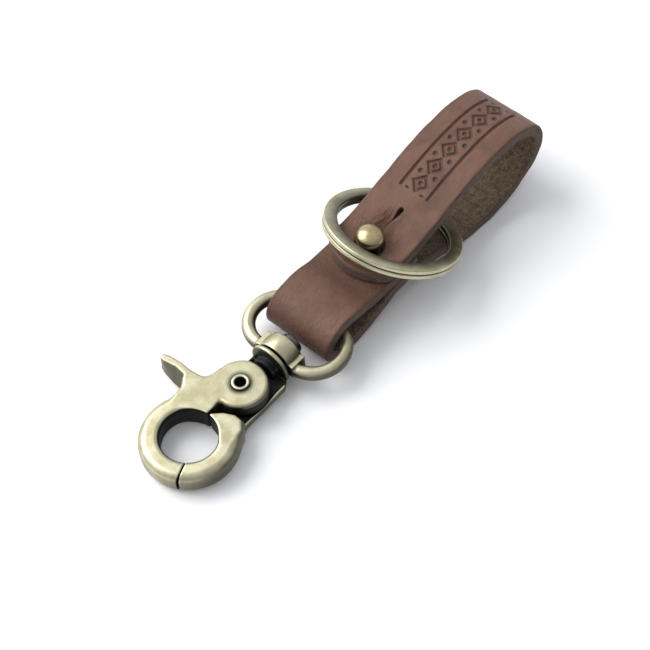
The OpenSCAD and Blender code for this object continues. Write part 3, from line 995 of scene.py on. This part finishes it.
@dataclass
class SplitRing:
    """Key ring of flat wire wound in two turns, in millimetres."""

    outer: float = 18.1
    width: float = 3.5
    coil: float = 1.3
    gap: float = 0.1
    jog_degrees: float = 26.0
    tilt_degrees: float = 22.0
    edge: float = 0.34
    corner: int = 5
    steps: int = 420

    def section(self) -> Array:
        """Cross-section of the wire: a flat bar with round edges, as radius and height."""
        points = []
        for k, (sx, sz) in enumerate(((1, 1), (-1, 1), (-1, -1), (1, -1))):
            for i in range(self.corner):
                a = math.radians(90 * k + 90 * i / (self.corner - 1))
                points.append((sx * (self.width / 2 - self.edge) + self.edge * math.cos(a),
                               sz * (self.coil / 2 - self.edge) + self.edge * math.sin(a)))
        return np.array(points) + [self.outer - self.width / 2, 0]

    def build(self) -> bpy.types.Object:
        """Winds the wire and lays it round the flap where the frame has its ring.

        Returns:
            The ring.
        """
        cross = self.section()
        first = self.jog_degrees * 0.6
        angle = np.linspace(first, 720 - first, self.steps)
        share = held((angle - 360 + self.jog_degrees / 2) / self.jog_degrees)
        level = (share * share * (3 - 2 * share) - 0.5) * (self.coil + self.gap)
        a = np.radians(angle)[:, None]
        radius, height = cross[:, 0][None], cross[:, 1][None] + level[:, None]
        points = np.stack([radius * np.cos(a), radius * np.sin(a), height + 0 * a], 2).reshape(-1, 3)
        count = len(cross)
        ring = np.arange(count)
        after = np.roll(ring, -1)
        i = np.arange(self.steps - 1)[:, None] * count
        faces = np.stack([i + ring, i + count + ring, i + count + after, i + after], 2)
        skin = Skin(points, faces.reshape(-1, 4))
        inner_side = np.where(level[:, None] > 0, -cross[:, 1], cross[:, 1]) / (self.coil / 2)
        toward_gap = np.where(np.abs(level)[:, None] > 0.3, inner_side, 0)
        patina_and_shade = held(toward_gap - 0.54).ravel()
        skin.values["patina_and_shade"] = patina_and_shade
        across = cross[:, 0] - self.outer + self.width / 2
        outside = np.clip(across / (self.width / 2), -1, 1)
        skin.values["ridge"] = np.tile(held(outside - 0.6), self.steps) * (1 - patina_and_shade)
        skin.values["buffed_and_lit"] = np.tile(0.5 + 0.5 * np.clip(outside, -0.9, 1) ** 3, self.steps)
        lo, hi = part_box("split_ring")
        turn = Matrix.Rotation(math.radians(self.tilt_degrees), 4, "Y")
        turn.translation = (lo + hi) / 2
        piece = build_object("key_ring_wire", skin, turn)
        close_end(piece)
        piece.data.materials.append(Metal.ANTIQUE.value.material())
        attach(piece, "key_ring")
        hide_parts("split_ring")
        return piece


@dataclass
class Stud:
    """Ball stud and its screw, in millimetres from the table on the stud's own axis.

    Each solid takes places x, y and z and returns how far outside it they are.
    """

    ball: float = 3.75
    ball_height: float = 5.5
    ball_z: float = 18.6
    neck: float = 1.9
    flange: float = 3.4
    seat_z: float = 12.6
    screw_z: float = 4.2
    grid: float = 0.19

    def stud(self, x: Array, y: Array, z: Array) -> Array:
        """Flange, neck, ball and shank."""
        r = np.hypot(x, y)
        flat = self.ball_height / 2 / self.ball
        ball = (np.hypot(r, (z - self.ball_z) / flat) - self.ball) * flat
        neck = np.maximum(r - self.neck, between(z, self.seat_z, self.ball_z))
        d = join(ball, neck, 0.6)
        d = join(d, rounded(r - self.flange, between(z, self.seat_z, self.seat_z + 0.8), 0.25), 0.3)
        shank = np.maximum(r - 2.3, between(z, self.screw_z + 1.65, self.seat_z + 0.1))
        d = join(d, shank)
        return cut(d, np.maximum(r - 1.55, between(z, self.screw_z, self.screw_z + 6.6)), 0.05)

    def screw(self, x: Array, y: Array, z: Array) -> Array:
        """Slotted screw under the strap."""
        r = np.hypot(x, y)
        top = self.screw_z + 1.2
        head = rounded(r - 4 + 0.05 * (z - top) ** 2, between(z, self.screw_z, top), 0.4)
        d = join(head, np.maximum(r - 1.5, between(z, self.screw_z + 0.6, self.screw_z + 6.1)), 0.1)
        return cut(d, np.maximum(np.abs(y) - 0.42, z - self.screw_z - 0.65), 0.12)

    def build(self) -> list[bpy.types.Object]:
        """Builds the stud and the screw where the frame has them.

        Returns:
            The two pieces, riding with the strap.
        """
        lo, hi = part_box("ball_stud")
        place = Matrix.Translation(((lo.x + hi.x) / 2, (lo.y + hi.y) / 2, 0))
        finish = Metal.STUD.value.material()
        pieces = []
        for name, solid, half, low, high, node in (("stud", self.stud, 3.9, 5.5, 22, "ball_stud"),
                                                   ("screw", self.screw, 4.3, 3.9, 10.6, "stud_screw")):
            line = spaced(-half, half, self.grid)
            skin = carve(solid, line, line, spaced(low, high, self.grid))
            # Faces that point up are painted brighter: polish with painted light from above.
            weather_and_light(skin, solid, lambda x, y, z: 0.45 + 0.8 * z)
            # The ball's underside and neck are painted dark: painted shade under the ball.
            if name == "stud":
                darken(skin, held((self.ball_z - 1.7 - skin.points[:, 2]) / 0.5))
            piece = build_object(name, skin, place)
            piece.data.materials.append(finish)
            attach(piece, "strap")
            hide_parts(node)
            pieces.append(piece)
        return pieces


# ---------------------------------------------------------------- stage

@dataclass
class Studio:
    """White sweep, soft light from the upper left and the camera."""

    lens: float = 99.69
    view_turn: float = 48.66
    view_drop: float = 53.0
    eye: tuple[float, float, float] = (-0.15496, -0.17864, 0.36035)

    def camera(self) -> None:
        """Sets up the scene's camera."""
        turn, drop = math.radians(self.view_turn), math.radians(self.view_drop)
        ahead = Vector((math.sin(turn) * math.cos(drop), math.cos(turn) * math.cos(drop), -math.sin(drop)))
        right = Vector((math.cos(turn), -math.sin(turn), 0))
        data = bpy.data.cameras.new("camera")
        data.lens = self.lens
        data.sensor_width = 36
        data.clip_start, data.clip_end = 0.01, 20
        camera = bpy.data.objects.new("camera", data)
        camera.matrix_world = Matrix((right, right.cross(ahead), -ahead)).transposed().to_4x4()
        camera.location = self.eye
        bpy.context.scene.collection.objects.link(camera)
        bpy.context.scene.camera = camera

    def softbox(self, name: str, towards: tuple[float, float, float], distance: float, size: float,
                power: float, colour: Colour = (1, 1, 1)) -> None:
        """Adds a square light that shines on the object.

        Args:
            name: Name of the light.
            towards: Direction from the object to the light.
            distance: Metres from the object to the light.
            size: Side of the square in metres.
            power: Power in watts.
            colour: Colour of the light.
        """
        data = bpy.data.lights.new(name, "AREA")
        data.size, data.energy, data.color = size, power, colour
        light = bpy.data.objects.new(name, data)
        aim = Vector((0.06, 0, 0.01))
        away = Vector(towards).normalized()
        light.location = aim + away * distance
        light.rotation_euler = away.to_track_quat("Z", "Y").to_euler()
        bpy.context.scene.collection.objects.link(light)

    def build(self) -> None:
        """Makes the floor, lights, world and camera."""
        half = 3.0
        corners = [(-half, -half, 0), (half, -half, 0), (half, half, 0), (-half, half, 0)]
        mesh = bpy.data.meshes.new("floor")
        mesh.from_pydata(corners, [], [(0, 1, 2, 3)])
        floor = bpy.data.objects.new("floor", mesh)
        floor.location.z = -0.0001
        bpy.context.scene.collection.objects.link(floor)
        paper = Nodes("paper")
        paper.feed(paper.shader.inputs["Base Color"], (0.93, 0.93, 0.94, 1))
        paper.shader.inputs["Roughness"].default_value = 0.9
        paper.shader.inputs["Specular IOR Level"].default_value = 0.1
        mesh.materials.append(paper.material)
        world = bpy.data.worlds.new("studio")
        world.use_nodes = True
        tree = world.node_tree
        sky = tree.nodes["Background"]
        sky.inputs["Color"].default_value = (0.93, 0.96, 1.0, 1)
        way = tree.nodes.new("ShaderNodeTexCoord")
        lean = tree.nodes.new("ShaderNodeVectorMath")
        lean.operation = "DOT_PRODUCT"
        lean.inputs[1].default_value = Vector((0.1, 0.75, 0.65)).normalized()
        shade = tree.nodes.new("ShaderNodeMapRange")
        for key, number in (("From Min", -0.5), ("From Max", 0.9), ("To Min", 0.36), ("To Max", 1.04)):
            shade.inputs[key].default_value = number
        tree.links.new(way.outputs["Generated"], lean.inputs[0])
        tree.links.new(lean.outputs["Value"], shade.inputs["Value"])
        tree.links.new(shade.outputs["Result"], sky.inputs["Strength"])
        bpy.context.scene.world = world
        self.softbox("key", (-0.32, 1.0, 0.9), 0.95, 0.8, 8.6, (1.0, 0.985, 0.96))
        self.softbox("side", (-0.9, 0.6, 1.0), 1.1, 0.9, 1.6)
        bpy.context.scene.view_settings.view_transform = "Standard"
        self.camera()


def main() -> None:
    """Builds the studio and every piece."""
    logging.basicConfig(level=logging.INFO, format="%(name)s: %(message)s")
    Studio().build()
    pieces = Strap().build(LeatherFinish())
    pieces += Hook().build()
    pieces += [SplitRing().build(), *Stud().build()]
    spring = frame["nodes"]["trigger_spring"]
    spring.data.materials.clear()
    spring.data.materials.append(Metal.STEEL.value.material())
    for piece in pieces:
        LOG.info("%s: %d faces", piece.name, len(piece.data.polygons))
    bpy.context.view_layer.update()


if __name__ == "__main__":
    main()
